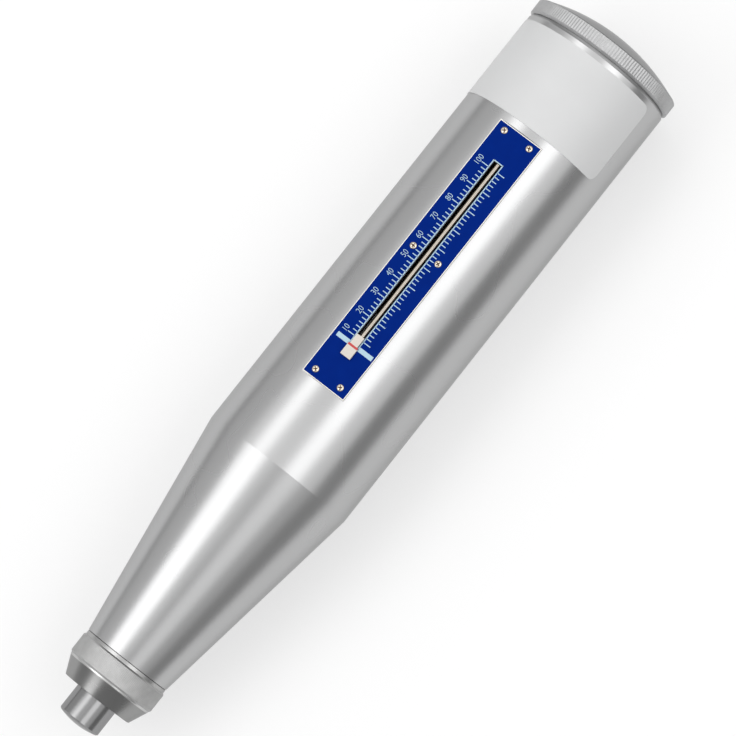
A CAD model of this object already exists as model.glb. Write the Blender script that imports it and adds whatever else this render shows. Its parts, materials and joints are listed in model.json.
import json
import math

import bpy
from mathutils import Matrix, Vector


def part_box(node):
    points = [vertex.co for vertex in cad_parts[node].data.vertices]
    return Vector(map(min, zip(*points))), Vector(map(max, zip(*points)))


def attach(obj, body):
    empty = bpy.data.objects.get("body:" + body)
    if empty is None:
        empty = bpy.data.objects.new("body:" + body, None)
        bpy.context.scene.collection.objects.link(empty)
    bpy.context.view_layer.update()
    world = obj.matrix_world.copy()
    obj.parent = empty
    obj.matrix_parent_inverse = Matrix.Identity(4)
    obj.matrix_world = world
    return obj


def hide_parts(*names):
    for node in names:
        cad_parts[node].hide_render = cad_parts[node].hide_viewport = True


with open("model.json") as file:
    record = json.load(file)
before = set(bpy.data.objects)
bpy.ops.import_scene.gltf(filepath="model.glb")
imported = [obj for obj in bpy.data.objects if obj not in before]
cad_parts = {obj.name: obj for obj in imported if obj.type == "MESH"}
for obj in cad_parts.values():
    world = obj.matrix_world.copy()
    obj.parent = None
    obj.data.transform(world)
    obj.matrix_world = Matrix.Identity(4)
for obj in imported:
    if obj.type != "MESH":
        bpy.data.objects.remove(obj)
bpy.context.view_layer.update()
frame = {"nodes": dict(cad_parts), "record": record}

nodes = frame["nodes"]

# Everything is in metres in the CAD frame: X from the plunger to the rear cover, Z up through the scale
# plate, Y to the side that is on the left in the photograph.
MM = 0.001
TURN = 2 * math.pi

# Places read from the frame
cover_low, cover_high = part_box("rear_cover")
nose_low, nose_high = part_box("nose_cap")
plate_low, plate_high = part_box("scale_plate")
screws_low, screws_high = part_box("plate_screws")
rider_low, rider_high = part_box("rider")
housing_low, housing_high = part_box("housing")
plunger_low, plunger_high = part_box("plunger")
AXIS_Z = (cover_low[2] + cover_high[2]) / 2
NOSE_FACE = nose_low[0]
PLATE_START = plate_low[0]
PLATE_LENGTH = plate_high[0] - plate_low[0]
PLATE_WIDTH = plate_high[1] - plate_low[1]
PLATE_TOP = plate_high[2]


def station(mm):
    """X of a distance from the nose face."""
    return NOSE_FACE + mm * MM


def from_nose(x):
    """Distance in mm from the nose face of a place along X."""
    return (x - NOSE_FACE) / MM


# Rear cover, in mm from the nose face and from the axis
COVER_SKIRT_START = from_nose(cover_low[0])
COVER_START = from_nose(housing_high[0]) + 0.06
COVER_BAND_END = COVER_START + 5.04
COVER_TOP = from_nose(cover_high[0])
COVER_RADIUS = (cover_high[1] - cover_low[1]) / 2 / MM
COVER_RIM = COVER_RADIUS - 0.4
COVER_TEETH = 165
COVER_TOOTH_DEPTH = 0.17

# Nose cap, in the same measures
NOSE_END = from_nose(nose_high[0])
NOSE_RADIUS = (nose_high[1] - nose_low[1]) / 2 / MM
NOSE_FACE_RADIUS = 12.85
NOSE_RIM_START = 6.1
NOSE_RIM_END = 6.75
NOSE_RIM_RADIUS = 15.55
NOSE_BAND_START = 7.55
NOSE_BAND_END = 13.75
NOSE_NECK = 15.55
NOSE_TEETH = 180
NOSE_TOOTH_DEPTH = 0.12

# Scale print, in mm along the plate from its front end and across it from its middle line
FIRST_TICK = 18.44
TICK_PITCH = 1.515
TICK_WIDTH = 0.3
TICKS_PER_NUMBER = 5
NUMBERS = 10
NUMBER_PITCH = TICK_PITCH * TICKS_PER_NUMBER
SLOT_END = 89.2
FRAME_LINE = 0.35
FRAME_ASIDE = 1.75
ZERO_BAR = 15.8
ZERO_BAR_WIDTH = 1.55
DIGIT_HEIGHT = 2.0
DIGIT_SHARE = 0.7
DIGIT_NARROWING = 0.82
DIGIT_ASIDE = 5.6
FIRST_NUMBER_SHIFT = 0.4
BARE_RIM = 0.2


# Shader maths

def plug(tree, value, slot):
    """Links a signal or socket to a slot, or sets the slot's own value."""
    if isinstance(value, Signal):
        tree.links.new(value.socket, slot)
    elif isinstance(value, bpy.types.NodeSocket):
        tree.links.new(value, slot)
    else:
        slot.default_value = value


class Signal:
    """A shader socket that can be used in plain arithmetic."""

    def __init__(self, tree, socket):
        self.tree = tree
        self.socket = socket

    def math(self, operation, *values):
        node = self.tree.nodes.new("ShaderNodeMath")
        node.operation = operation
        for value, slot in zip(values, node.inputs):
            plug(self.tree, value, slot)
        return Signal(self.tree, node.outputs[0])

    def __add__(self, other):
        return self.math("ADD", self, other)

    def __radd__(self, other):
        return self.math("ADD", other, self)

    def __sub__(self, other):
        return self.math("SUBTRACT", self, other)

    def __rsub__(self, other):
        return self.math("SUBTRACT", other, self)

    def __mul__(self, other):
        return self.math("MULTIPLY", self, other)

    def __rmul__(self, other):
        return self.math("MULTIPLY", other, self)

    def __truediv__(self, other):
        return self.math("DIVIDE", self, other)

    def __gt__(self, other):
        return self.math("GREATER_THAN", self, other)

    def __lt__(self, other):
        return self.math("LESS_THAN", self, other)

    def absolute(self):
        return self.math("ABSOLUTE", self)

    def lesser(self, other):
        return self.math("MINIMUM", self, other)

    def root(self):
        return self.math("SQRT", self)

    def clamped(self):
        """The value kept between 0 and 1."""
        return self.math("MINIMUM", self.math("MAXIMUM", self, 0.0), 1.0)


def rgba(color):
    return (*color, 1.0)


def shade(color, factor):
    return tuple(min(part * factor, 1.0) for part in color)


class Finish:
    """A procedural material under construction."""

    SOCKETS = {
        "color": "Base Color", "metal": "Metallic", "rough": "Roughness", "gloss": "Specular IOR Level",
        "edge": "Specular Tint",
    }

    def __init__(self, name):
        self.material = bpy.data.materials.new(name)
        self.material.use_nodes = True
        self.tree = self.material.node_tree
        self.shader = self.tree.nodes["Principled BSDF"]
        self.place = self.node("ShaderNodeTexCoord").outputs["Object"]
        split = self.node("ShaderNodeSeparateXYZ", inputs={"Vector": self.place})
        self.x, self.y, self.z = (Signal(self.tree, split.outputs[axis]) for axis in "XYZ")

    def node(self, kind, settings=None, inputs=None):
        node = self.tree.nodes.new(kind)
        for key, value in (settings or {}).items():
            setattr(node, key, value)
        for key, value in (inputs or {}).items():
            plug(self.tree, value, node.inputs[key])
        return node

    def noise(self, scale, stretch=(1, 1, 1), detail=2.0, roughness=0.5):
        """Noise from 0 to 1, with its pattern scaled along each axis."""
        mapped = self.node("ShaderNodeMapping", inputs={"Vector": self.place, "Scale": stretch})
        noise = self.node(
            "ShaderNodeTexNoise",
            inputs={"Vector": mapped.outputs[0], "Scale": scale, "Detail": detail, "Roughness": roughness},
        )
        return Signal(self.tree, noise.outputs["Fac"])

    def mix(self, factor, low, high):
        """Colour low where the factor is 0 and high where it is 1."""
        mix = self.node("ShaderNodeMix", {"data_type": "RGBA"})
        plug(self.tree, factor, mix.inputs["Factor"])
        for value, slot in ((low, mix.inputs[6]), (high, mix.inputs[7])):
            plug(self.tree, rgba(value) if isinstance(value, tuple) else value, slot)
        return mix.outputs[2]

    def multiply(self, color, other):
        """Product of two colours."""
        product = self.node("ShaderNodeMix", {"data_type": "RGBA", "blend_type": "MULTIPLY"}, {"Factor": 1.0})
        plug(self.tree, color, product.inputs[6])
        plug(self.tree, other, product.inputs[7])
        return product.outputs[2]

    def bump(self, height, distance, strength=1.0):
        bump = self.node(
            "ShaderNodeBump", inputs={"Height": height, "Distance": distance, "Strength": strength}
        )
        plug(self.tree, bump.outputs[0], self.shader.inputs["Normal"])

    def surface(self, **values):
        """Sets or links the shader's sockets by their short names and returns the material."""
        for key, value in values.items():
            slot = self.shader.inputs[self.SOCKETS[key]]
            plug(self.tree, rgba(value) if isinstance(value, tuple) else value, slot)
        return self.material


# Noise per metre of the rings that a lathe leaves, and the tone of turned metal at a grazing look
RINGS = (9000.0, 0.0, 0.0)
EDGE_TINT = (0.7, 0.7, 0.7)


def turned_metal(name, color, rough, groove=0.0012):
    """Lathe-turned metal: fine rings round the X axis, and a little soft variation in tone."""
    wear = 0.05
    finish = Finish(name)
    rings = finish.noise(1.0, RINGS, detail=3.0, roughness=0.7)
    cloud = finish.noise(26.0, detail=2.0)
    tone = (cloud - 0.5) * 2.0 * wear + (rings - 0.5) * wear + 0.5
    finish.bump(rings, groove * MM)
    base = finish.mix(tone.clamped(), shade(color, 0.85), shade(color, 1.15))
    return finish.surface(color=base, metal=1.0, rough=(cloud - 0.5) * 0.08 + rough, edge=EDGE_TINT)


def ground_steel(name, color, rough):
    """Steel with a fine even grain."""
    finish = Finish(name)
    grain = finish.noise(1400.0, detail=3.0)
    cloud = finish.noise(40.0, detail=3.0)
    finish.bump(grain, 0.002 * MM)
    base = finish.mix(cloud, shade(color, 0.86), color)
    return finish.surface(color=base, metal=1.0, rough=grain * 0.08 + (rough - 0.04))


def moulded(name, color, rough):
    """Plastic or paint with a faint grain and a little variation in tone."""
    finish = Finish(name)
    cloud = finish.noise(120.0, detail=3.0)
    fine = finish.noise(900.0)
    finish.bump(fine, 0.004 * MM)
    base = finish.mix(cloud, shade(color, 0.95), color)
    return finish.surface(color=base, metal=0.0, rough=fine * 0.1 + rough, gloss=0.3)


def knurled_metal(name, before, teeth, after, start, end, rim=0.0):
    """Turned metal with a duller knurled band between two distances from the nose face.

    A bright rim of the given length can lie before the band.
    """
    finish = Finish(name)
    past = finish.x > station(end)
    band = (finish.x > station(start)) * (1.0 - past)
    bright = (finish.x > station(start - rim)) * (finish.x < station(start))
    rings = finish.noise(1.0, RINGS, detail=3.0, roughness=0.7)
    cloud = finish.noise(60.0, detail=4.0)
    blotch = finish.noise(420.0, detail=2.0)
    finish.bump(rings, 0.001 * MM)
    smooth = finish.mix(past, before, after)
    ribbed = finish.mix(blotch, shade(teeth, 0.86), shade(teeth, 1.14))
    worn = finish.mix(cloud, (0.86, 0.86, 0.86), (1.0, 1.0, 1.0))
    plain = finish.mix(bright, smooth, RIM_BRIGHT)
    base = finish.multiply(finish.mix(band, plain, ribbed), worn)
    rough = band * 0.34 + (cloud - 0.5) * 0.08 + 0.28
    return finish.surface(color=base, metal=1.0, rough=rough, edge=EDGE_TINT)


def felt_finish():
    """Dense grey felt."""
    finish = Finish("felt_fibres")
    fibres = finish.noise(2600.0, (1.0, 1.0, 0.4), detail=4.0)
    finish.bump(fibres, 0.06 * MM)
    return finish.surface(color=finish.mix(fibres, (0.10, 0.10, 0.10), (0.26, 0.25, 0.24)), rough=0.95)


def plate_finish():
    """Deep blue paint on bare aluminium, which shows at the plate's rim."""
    finish = Finish("plate_paint")
    middle = PLATE_START + PLATE_LENGTH / 2
    from_end = PLATE_LENGTH / 2 - (finish.x - middle).absolute()
    from_side = PLATE_WIDTH / 2 - finish.y.absolute()
    painted = (from_end > BARE_RIM * MM) * (from_side > BARE_RIM * MM) * (finish.z > PLATE_TOP - 0.1 * MM)
    cloud = finish.noise(300.0, detail=3.0)
    finish.bump(cloud, 0.008 * MM, 0.3)
    blue = finish.mix(cloud, (0.0, 0.013, 0.155), (0.0, 0.017, 0.185))
    base = finish.mix(painted, (0.80, 0.77, 0.70), blue)
    return finish.surface(color=base, metal=(1.0 - painted) * 0.7, rough=painted * 0.06 + 0.34, gloss=0.02)


# Plate screws: the middle pair sits a little behind the plate's middle
SCREW_HEAD = 1.2 * MM
MIDDLE_SHIFT = 1.75 * MM
SCREW_ROWS = (
    screws_low[0] + SCREW_HEAD, PLATE_START + PLATE_LENGTH / 2 + MIDDLE_SHIFT, screws_high[0] - SCREW_HEAD
)
SCREW_ASIDE = screws_high[1] - SCREW_HEAD


def screw_finish():
    """Bright warm steel with brown left in the recess of each head."""
    recess_top = screws_high[2] - 0.16 * MM
    recess_reach = 0.78 * MM
    finish = Finish("screw_steel")
    grain = finish.noise(1400.0, detail=3.0)
    cloud = finish.noise(900.0, detail=3.0)
    finish.bump(grain, 0.002 * MM)
    along_plate = (finish.x - SCREW_ROWS[0]).absolute()
    for row in SCREW_ROWS[1:]:
        along_plate = along_plate.lesser((finish.x - row).absolute())
    across = (finish.y.absolute() - SCREW_ASIDE).absolute()
    from_middle = (along_plate * along_plate + across * across).root()
    recess = (finish.z < recess_top) * (from_middle < recess_reach)
    bright = finish.mix(cloud, (0.58, 0.49, 0.38), (0.76, 0.70, 0.62))
    base = finish.mix(recess, bright, (0.07, 0.035, 0.015))
    return finish.surface(color=base, metal=1.0, rough=grain * 0.08 + 0.2)


def label_finish():
    """Plain matt film with a faint mottle."""
    finish = Finish("label_film")
    mottle = finish.noise(60.0, detail=4.0)
    fine = finish.noise(1500.0)
    finish.bump(fine, 0.006 * MM)
    base = finish.mix(mottle, (0.555, 0.558, 0.56), (0.605, 0.608, 0.61))
    return finish.surface(color=base, rough=fine * 0.1 + 0.42, gloss=0.3)


# Colours of the two caps, and the finish of each slot
RIM_BRIGHT = (0.60, 0.60, 0.595)
NOSE_PLAIN = (0.34, 0.34, 0.338)
NOSE_RIBBED = (0.53, 0.53, 0.527)
NECK_PLAIN = (0.46, 0.46, 0.457)
COVER_RIBBED = (0.57, 0.572, 0.575)
DOME_PLAIN = (0.32, 0.321, 0.323)
FINISHES = {
    "aluminium_body": turned_metal("aluminium_turned", (0.47, 0.471, 0.473), 0.28),
    "aluminium_nose": knurled_metal(
        "nose_turned", NOSE_PLAIN, NOSE_RIBBED, NECK_PLAIN, NOSE_RIM_END, NOSE_BAND_END - 0.1, rim=0.7
    ),
    "aluminium_cover": knurled_metal(
        "cover_turned", COVER_RIBBED, COVER_RIBBED, DOME_PLAIN, COVER_START, COVER_BAND_END - 0.2
    ),
    "aluminium_inner": turned_metal("disk_turned", (0.60, 0.60, 0.61), 0.34),
    "plunger_steel": turned_metal("plunger_polished", (0.29, 0.29, 0.292), 0.21, groove=0.0006),
    "hammer_steel": turned_metal("hammer_ground", (0.46, 0.46, 0.47), 0.28),
    "rod_steel": turned_metal("rod_polished", (0.42, 0.38, 0.33), 0.24),
    "steel": ground_steel("machined_steel", (0.46, 0.46, 0.47), 0.34),
    "felt": felt_finish(),
    "sleeve_brass": turned_metal("sleeve_brass", (0.70, 0.52, 0.26), 0.28),
    "plate_blue": plate_finish(),
    "plate_screw_steel": screw_finish(),
    "rider_white": moulded("rider_white", (0.62, 0.575, 0.52), 0.36),
    "label_grey": label_finish(),
    "spring_steel": ground_steel("spring_wire", (0.38, 0.38, 0.40), 0.30),
    "button_steel": turned_metal("button_turned", (0.50, 0.50, 0.51), 0.26),
}
PRINT_PALE = moulded("print_pale", (0.40, 0.56, 0.65), 0.45)
RIDER_RED = moulded("rider_red", (0.50, 0.06, 0.055), 0.40)

for part in frame["record"]["subparts"]:
    solid = nodes[part["node"]]
    solid.data.materials.clear()
    solid.data.materials.append(FINISHES[part["material_slot"]])
    for face in solid.data.polygons:
        face.material_index = 0


# Mesh tools

def only(piece):
    """Makes one piece the only selected and active one."""
    bpy.ops.object.select_all(action="DESELECT")
    piece.select_set(True)
    bpy.context.view_layer.objects.active = piece


def pick(piece, wanted):
    """Opens edit mode with the vertices selected for which wanted(x, y, z) holds."""
    only(piece)
    bpy.ops.object.mode_set(mode="EDIT")
    bpy.ops.mesh.select_all(action="DESELECT")
    bpy.ops.object.mode_set(mode="OBJECT")
    for vertex in piece.data.vertices:
        vertex.select = wanted(*vertex.co)
    bpy.ops.object.mode_set(mode="EDIT")


def leave():
    bpy.ops.object.mode_set(mode="OBJECT")


def settle(piece):
    """Puts a piece's place, turn and scale into its mesh."""
    only(piece)
    bpy.ops.object.transform_apply(location=True, rotation=True, scale=True)


def dress(piece, name, material, body, sharp=30.0):
    """Names and shades a finished piece, gives it its finish and lets it ride on its body."""
    settle(piece)
    bpy.ops.object.shade_smooth_by_angle(angle=math.radians(sharp))
    piece.name = name
    piece.data.name = name
    piece.data.materials.clear()
    piece.data.materials.append(material)
    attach(piece, body)


def joined(pieces):
    bpy.ops.object.select_all(action="DESELECT")
    for piece in pieces:
        piece.select_set(True)
    bpy.context.view_layer.objects.active = pieces[0]
    bpy.ops.object.join()
    return bpy.context.object


def towards_axis(factor):
    """Scales what is selected towards the tube's axis."""
    bpy.ops.transform.resize(value=(1, factor, factor), center_override=(0, 0, AXIS_Z))


def turn_on_axis(profile, columns):
    """A solid of revolution about the tube's axis from (distance, radius) pairs in mm."""
    start, radius = profile[0]
    bpy.ops.mesh.primitive_circle_add(
        vertices=columns, radius=radius * MM, location=(station(start), 0, AXIS_Z), rotation=(0, TURN / 4, 0)
    )
    piece = bpy.context.object
    settle(piece)
    pick(piece, lambda x, y, z: True)
    for (here, wide), (there, narrow) in zip(profile, profile[1:]):
        bpy.ops.mesh.extrude_region_move(TRANSFORM_OT_translate={"value": ((there - here) * MM, 0, 0)})
        towards_axis(narrow / wide)
    leave()
    return piece


def round_off(piece):
    """Merges doubles and points all faces outwards."""
    pick(piece, lambda x, y, z: True)
    bpy.ops.mesh.remove_doubles(threshold=0.0005 * MM)
    bpy.ops.mesh.normals_make_consistent(inside=False)
    leave()


def close_pole(piece, distance, radius):
    """Draws the small ring at a distance from the nose face together into one point."""
    reach = (radius + 0.01) * MM
    pick(
        piece,
        lambda x, y, z: abs(x - station(distance)) < 0.001 * MM and math.hypot(y, z - AXIS_Z) < reach,
    )
    bpy.ops.mesh.merge(type="CENTER")
    leave()


def knurl(piece, teeth, start, end, radius, depth):
    """Presses every second line of a band inwards, so that straight teeth stand between."""

    def valley(x, y, z):
        line = round(math.atan2(z - AXIS_Z, y) / TURN * 2 * teeth)
        in_band = station(start) - 0.01 * MM < x < station(end) + 0.01 * MM
        return in_band and math.hypot(y, z - AXIS_Z) > (radius - 0.05) * MM and line % 2 == 0

    pick(piece, valley)
    towards_axis(1 - depth / radius)
    leave()


# Rear cover: knurled band, rim and shallow dome, with the skirt and boss inside the tube
def rear_cover_piece():
    boss_start = 250.0
    boss = 7.0
    screw_hole = 3.05
    hole_end = 261.0
    face = 257.0
    skirt = 24.35
    skirt_inner = 21.55
    pole = 0.3
    rise = COVER_TOP - COVER_BAND_END
    dome = (COVER_RIM**2 + rise**2) / (2 * rise)
    profile = [
        (hole_end, pole), (hole_end, screw_hole), (boss_start, screw_hole), (boss_start, boss), (face, boss),
        (face, skirt_inner), (COVER_SKIRT_START, skirt_inner), (COVER_SKIRT_START, skirt),
        (COVER_START, skirt), (COVER_START, COVER_RADIUS - 0.95), (COVER_START + 0.5, COVER_RADIUS - 0.1),
        (COVER_START + 0.6, COVER_RADIUS), (COVER_START + 0.75, COVER_RADIUS),
        (COVER_BAND_END - 0.35, COVER_RADIUS), (COVER_BAND_END - 0.2, COVER_RADIUS),
        (COVER_BAND_END, COVER_RADIUS - 0.15), (COVER_BAND_END, COVER_RIM),
    ]
    steps = 12
    for step in range(1, steps):
        reach = COVER_RIM * math.cos(TURN / 4 * step / steps)
        profile.append((COVER_TOP - dome + math.sqrt(dome**2 - reach**2), reach))
    profile.append((COVER_TOP, pole))
    cover = turn_on_axis(profile, 2 * COVER_TEETH)
    knurl(cover, COVER_TEETH, COVER_START + 0.75, COVER_BAND_END - 0.35, COVER_RADIUS, COVER_TOOTH_DEPTH)
    close_pole(cover, hole_end, pole)
    close_pole(cover, COVER_TOP, pole)
    round_off(cover)
    dress(cover, "cover_knurled", FINISHES["aluminium_cover"], "housing", sharp=24.0)
    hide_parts("rear_cover")


# Nose cap: cone face, knurled band between two chamfers, neck, and the bores inside
def nose_cap_piece():
    plunger_bore = 7.58
    felt_end, felt_bore = 4.6, 10.5
    ring_start, ring_bore = 7.5, 12.1
    thread_start, thread = 10.4, 12.9
    profile = [
        (0.0, plunger_bore), (0.0, NOSE_FACE_RADIUS - 0.35), (0.1, NOSE_FACE_RADIUS - 0.12),
        (0.35, NOSE_FACE_RADIUS), (NOSE_RIM_START, NOSE_RIM_RADIUS - 0.15),
        (NOSE_RIM_START + 0.15, NOSE_RIM_RADIUS - 0.05), (NOSE_RIM_END, NOSE_RIM_RADIUS),
        (NOSE_BAND_START - 0.35, NOSE_RADIUS - 0.1), (NOSE_BAND_START - 0.2, NOSE_RADIUS),
        (NOSE_BAND_START, NOSE_RADIUS), (NOSE_BAND_START + 0.2, NOSE_RADIUS),
        (NOSE_BAND_END - 0.2, NOSE_RADIUS), (NOSE_BAND_END, NOSE_RADIUS),
        (NOSE_BAND_END + 0.5, NOSE_NECK), (NOSE_END - 0.15, NOSE_NECK),
        (NOSE_END, NOSE_NECK - 0.15), (NOSE_END, thread), (thread_start, thread),
        (thread_start, ring_bore), (ring_start, ring_bore), (ring_start, felt_bore),
        (felt_end, felt_bore), (felt_end, plunger_bore), (0.0, plunger_bore),
    ]
    nose = turn_on_axis(profile, 2 * NOSE_TEETH)
    knurl(nose, NOSE_TEETH, NOSE_BAND_START + 0.2, NOSE_BAND_END - 0.2, NOSE_RADIUS, NOSE_TOOTH_DEPTH)
    round_off(nose)
    dress(nose, "nose_knurled", FINISHES["aluminium_nose"], "housing", sharp=24.0)
    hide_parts("nose_cap")


# Plunger: round striking end, chamfers and the bore behind
def plunger_piece():
    tip, rear = from_nose(plunger_low[0]), from_nose(plunger_high[0])
    radius = (plunger_high[1] - plunger_low[1]) / 2 / MM
    chamfer = 0.5
    ball = 25.0
    bore, bore_bottom = 4.08, 30.0
    pole = 0.3
    steps = 10
    columns = 120
    edge = radius - chamfer
    edge_distance = tip + ball - math.sqrt(ball**2 - edge**2)
    profile = [
        (bore_bottom, pole), (bore_bottom, bore), (rear, bore), (rear, edge), (rear - chamfer, radius),
        (edge_distance + chamfer, radius),
    ]
    for step in range(steps):
        reach = edge * (1 - step / steps)
        profile.append((tip + ball - math.sqrt(ball**2 - reach**2), reach))
    profile.append((tip, pole))
    plunger = turn_on_axis(profile, columns)
    close_pole(plunger, bore_bottom, pole)
    close_pole(plunger, tip, pole)
    round_off(plunger)
    dress(plunger, "plunger_turned", FINISHES["plunger_steel"], "plunger")
    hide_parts("plunger")


# Plate screws: low round heads with a cross recess
def screw_pieces():
    head = SCREW_HEAD
    shank = 0.6 * MM
    rise = screws_high[2] - PLATE_TOP
    depth = PLATE_TOP - screws_low[2]
    recess_length = 1.45 * MM
    recess_width = 0.36 * MM
    recess_depth = 0.3 * MM
    first_turn, turn_by_row, turn_by_side = 0.5, 0.7, 1.9
    bpy.ops.mesh.primitive_uv_sphere_add(segments=40, ring_count=24, radius=head)
    screw = bpy.context.object
    pick(screw, lambda x, y, z: True)
    bpy.ops.mesh.bisect(plane_co=(0, 0, 0), plane_no=(0, 0, 1), use_fill=True, clear_inner=True)
    leave()
    screw.scale = (1, 1, rise / head)
    settle(screw)
    for turn in (0, TURN / 4):
        bpy.ops.mesh.primitive_cube_add(
            size=1,
            location=(0, 0, rise),
            rotation=(0, 0, turn),
            scale=(recess_length, recess_width, 2 * recess_depth),
        )
        cutter = bpy.context.object
        recess = screw.modifiers.new("recess", "BOOLEAN")
        recess.object = cutter
        recess.operation = "DIFFERENCE"
        recess.solver = "EXACT"
        only(screw)
        bpy.ops.object.modifier_apply(modifier=recess.name)
        only(cutter)
        bpy.ops.object.delete()
    overlap = 0.1 * MM
    bpy.ops.mesh.primitive_cylinder_add(
        vertices=24, radius=shank, depth=depth + overlap, location=(0, 0, (overlap - depth) / 2)
    )
    pin = bpy.context.object
    settle(pin)
    screw = joined([screw, pin])
    heads = []
    for row, x in enumerate(SCREW_ROWS):
        for side, y in enumerate((-SCREW_ASIDE, SCREW_ASIDE)):
            copy = screw.copy()
            copy.data = screw.data.copy()
            bpy.context.scene.collection.objects.link(copy)
            copy.rotation_euler = (0, 0, first_turn + turn_by_row * row + turn_by_side * side)
            copy.location = (x, y, PLATE_TOP)
            heads.append(copy)
    only(screw)
    bpy.ops.object.delete()
    for copy in heads:
        settle(copy)
    heads = joined(heads)
    dress(heads, "screws_recessed", FINISHES["plate_screw_steel"], "housing")
    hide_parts("plate_screws")


# Print on the scale plate
PRINT_RISE = 0.02 * MM


def bar(x, y, length, width):
    """A flat printed bar, its middle x mm along the plate and y mm from its middle line."""
    bpy.ops.mesh.primitive_cube_add(
        size=1,
        location=(PLATE_START + x * MM, y * MM, PLATE_TOP + PRINT_RISE / 2),
        scale=(length * MM, width * MM, PRINT_RISE),
    )
    return bpy.context.object


def row_of(piece, count, pitch):
    """Repeats a printed bar along the plate."""
    settle(piece)
    row = piece.modifiers.new("row", "ARRAY")
    row.count = count
    row.use_relative_offset = False
    row.use_constant_offset = True
    row.constant_offset_displace = (pitch * MM, 0, 0)
    bpy.ops.object.modifier_apply(modifier=row.name)
    return piece


def scale_print():
    minor_end = 3.6
    major_end = 4.5
    zero_bars = ((4.3, 4.8), (-4.65, 5.5))
    frame_end = SLOT_END + FRAME_LINE
    frame_middle = (ZERO_BAR + frame_end) / 2
    printed = []
    for side in (1, -1):
        for step in range(1, TICKS_PER_NUMBER):
            middle = side * (FRAME_ASIDE + minor_end) / 2
            first = bar(FIRST_TICK + step * TICK_PITCH, middle, TICK_WIDTH, minor_end - FRAME_ASIDE)
            printed.append(row_of(first, NUMBERS - 1, NUMBER_PITCH))
        middle = side * (FRAME_ASIDE + major_end) / 2
        first = bar(FIRST_TICK, middle, TICK_WIDTH, major_end - FRAME_ASIDE)
        printed.append(row_of(first, NUMBERS, NUMBER_PITCH))
        printed.append(bar(frame_middle, side * FRAME_ASIDE, frame_end - ZERO_BAR, FRAME_LINE))
    printed.append(bar(SLOT_END + FRAME_LINE / 2, 0, FRAME_LINE, 2 * FRAME_ASIDE))
    for middle, length in zero_bars:
        printed.append(bar(ZERO_BAR, middle, ZERO_BAR_WIDTH, length))
    for piece in printed:
        settle(piece)
    dress(joined(printed), "scale_ticks", PRINT_PALE, "housing")


def scale_numbers():
    numbers = []
    for index in range(NUMBERS):
        bpy.ops.object.text_add(location=(0, 0, 0))
        text = bpy.context.object
        text.data.body = str(10 * (index + 1))
        text.data.size = DIGIT_HEIGHT / DIGIT_SHARE * MM
        text.data.align_x = "CENTER"
        text.data.align_y = "CENTER"
        text.data.extrude = PRINT_RISE / 2
        text.data.offset = -0.03 * MM
        text.data.resolution_u = 4
        only(text)
        bpy.ops.object.convert(target="MESH")
        text = bpy.context.object
        text.scale = (DIGIT_NARROWING, 1, 1)
        along_plate = FIRST_TICK + index * NUMBER_PITCH + (FIRST_NUMBER_SHIFT if index == 0 else 0)
        text.location = (PLATE_START + along_plate * MM, DIGIT_ASIDE * MM, PLATE_TOP + PRINT_RISE / 2)
        settle(text)
        numbers.append(text)
    dress(joined(numbers), "scale_numbers", PRINT_PALE, "housing")


# Red line across the rider
def rider_mark():
    middle = (rider_low[0] + rider_high[0]) / 2
    bpy.ops.mesh.primitive_cube_add(
        size=1, location=(middle, 0, rider_high[2]), scale=(0.75 * MM, 3.7 * MM, 0.06 * MM)
    )
    mark = bpy.context.object
    settle(mark)
    pick(mark, lambda x, y, z: True)
    bpy.ops.mesh.bevel(offset=0.01 * MM, segments=1)
    leave()
    dress(mark, "rider_line", RIDER_RED, "rider")


rear_cover_piece()
nose_cap_piece()
plunger_piece()
screw_pieces()
scale_print()
scale_numbers()
rider_mark()

# Camera, fitted to the photograph: turns in degrees, distances in metres
SIDE_TURN = math.radians(11.653)
END_TILT = math.radians(3.886)
PICTURE_ROLL = math.radians(38.328)
DISTANCE = 1.4193
LENS = 216.96
AIM_X = 0.00672
AIM_ASIDE = 0.0025
along = Vector((1, 0, 0))
toward = Vector((0, -math.sin(SIDE_TURN), math.cos(SIDE_TURN)))
aside = Vector((0, -math.cos(SIDE_TURN), -math.sin(SIDE_TURN)))


def placed(thing, location, right, up, back):
    """Gives a camera or lamp its place and its three axes."""
    bpy.context.scene.collection.objects.link(thing)
    thing.matrix_world = Matrix.Translation(location) @ Matrix((right, up, back)).transposed().to_4x4()


def camera():
    back = toward * math.cos(END_TILT) - along * math.sin(END_TILT)
    length = along * math.cos(END_TILT) + toward * math.sin(END_TILT)
    right = length * math.sin(PICTURE_ROLL) + aside * math.cos(PICTURE_ROLL)
    up = length * math.cos(PICTURE_ROLL) - aside * math.sin(PICTURE_ROLL)
    data = bpy.data.cameras.new("camera")
    data.lens = LENS
    data.sensor_width = 36
    data.clip_start = 0.05
    eye = bpy.data.objects.new("camera", data)
    placed(eye, Vector((AIM_X, 0, AXIS_Z)) + aside * AIM_ASIDE + back * DISTANCE, right, up, back)
    bpy.context.scene.camera = eye


# Lamps: long panels along the tube, each at an angle in degrees round it from the line of sight
def panel(name, angle, distance, width, start, end, radiance):
    """A panel that faces the tube from a distance and reaches from start to end along X."""
    turn = math.radians(angle)
    data = bpy.data.lights.new(name, "AREA")
    data.shape = "RECTANGLE"
    data.size = end - start
    data.size_y = width
    data.energy = radiance * math.pi * width * (end - start)
    outward = toward * math.cos(turn) + aside * math.sin(turn)
    middle = Vector(((start + end) / 2, 0, AXIS_Z)) + outward * distance
    placed(bpy.data.objects.new(name, data), middle, along, outward.cross(along), outward)


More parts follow.
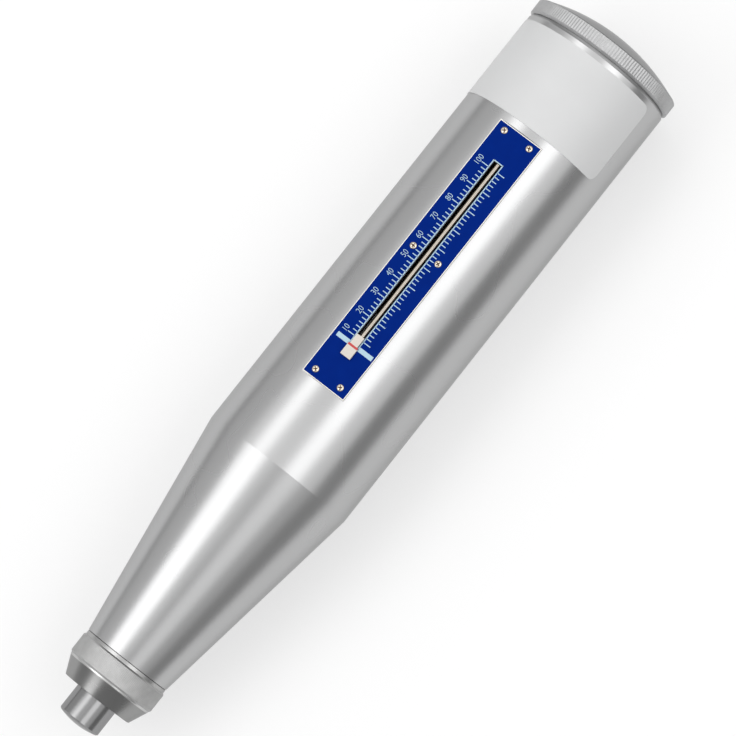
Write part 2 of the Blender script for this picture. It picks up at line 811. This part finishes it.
camera()
panel("overhead_front", -1.5, 1.5, 5.3, -1.25, -0.22, 0.28)
panel("overhead_rear", -1.5, 1.5, 5.3, -0.22, 1.55, 0.80)
panel("key_front", 23, 1.25, 0.58, -1.2, -0.2, 0.55)
panel("shoulder_front", -14, 1.2, 0.4, -1.2, -0.2, 0.35)
panel("key_rear", 20.5, 1.25, 0.53, -0.2, 1.3, 1.3)
panel("second_front", -40, 1.25, 0.80, -2.2, -0.2, 1.9)
panel("second_rear", -36, 1.25, 0.42, -0.2, 1.3, 1.2)
panel("rear_end", -1.5, 1.5, 5.3, 1.6, 3.0, 0.75)
panel("side", -79, 1.5, 1.03, -1.2, 1.2, 0.39)

# Floor and surroundings: a round white floor that fades into the grey around it
FLOOR_LIFT = 0.5
FLOOR_Y = 0.13
FLOOR_FULL = 0.3
FLOOR_END = 0.45
FLOOR_Z = -0.2 * MM
WORLD_LIGHT = 0.33


def studio():
    bpy.ops.mesh.primitive_grid_add(
        x_subdivisions=8, y_subdivisions=8, size=2 * FLOOR_END, location=(0, FLOOR_Y, FLOOR_Z)
    )
    floor = bpy.context.object
    floor.name = "floor"
    paper = Finish("floor_paper")
    tree = paper.tree
    rays = paper.node("ShaderNodeLightPath")
    looks = ("Is Camera Ray", "Is Glossy Ray", "Is Transmission Ray")
    direct, mirrored, through = (Signal(tree, rays.outputs[kind]) for kind in looks)
    shown = (direct + mirrored + through).clamped()
    white = paper.node("ShaderNodeEmission", inputs={"Color": (1, 1, 1, 1), "Strength": 1.0})
    blend = paper.node("ShaderNodeMixShader", inputs={"Fac": shown * FLOOR_LIFT})
    paper.surface(color=(0.84, 0.84, 0.84), rough=0.9)
    tree.links.new(paper.shader.outputs[0], blend.inputs[1])
    tree.links.new(white.outputs[0], blend.inputs[2])
    reach = (paper.x * paper.x + paper.y * paper.y).root()
    solid = ((FLOOR_END - reach) / (FLOOR_END - FLOOR_FULL)).clamped()
    clear = paper.node("ShaderNodeBsdfTransparent")
    fade = paper.node("ShaderNodeMixShader", inputs={"Fac": solid})
    tree.links.new(clear.outputs[0], fade.inputs[1])
    tree.links.new(blend.outputs[0], fade.inputs[2])
    tree.links.new(fade.outputs[0], tree.nodes["Material Output"].inputs["Surface"])
    floor.data.materials.append(paper.material)

    world = bpy.data.worlds.new("studio")
    bpy.context.scene.world = world
    world.use_nodes = True
    ground = world.node_tree.nodes["Background"]
    ground.inputs["Color"].default_value = (1, 1, 1, 1)
    ground.inputs["Strength"].default_value = WORLD_LIGHT


studio()
bpy.context.scene.view_settings.view_transform = "Standard"
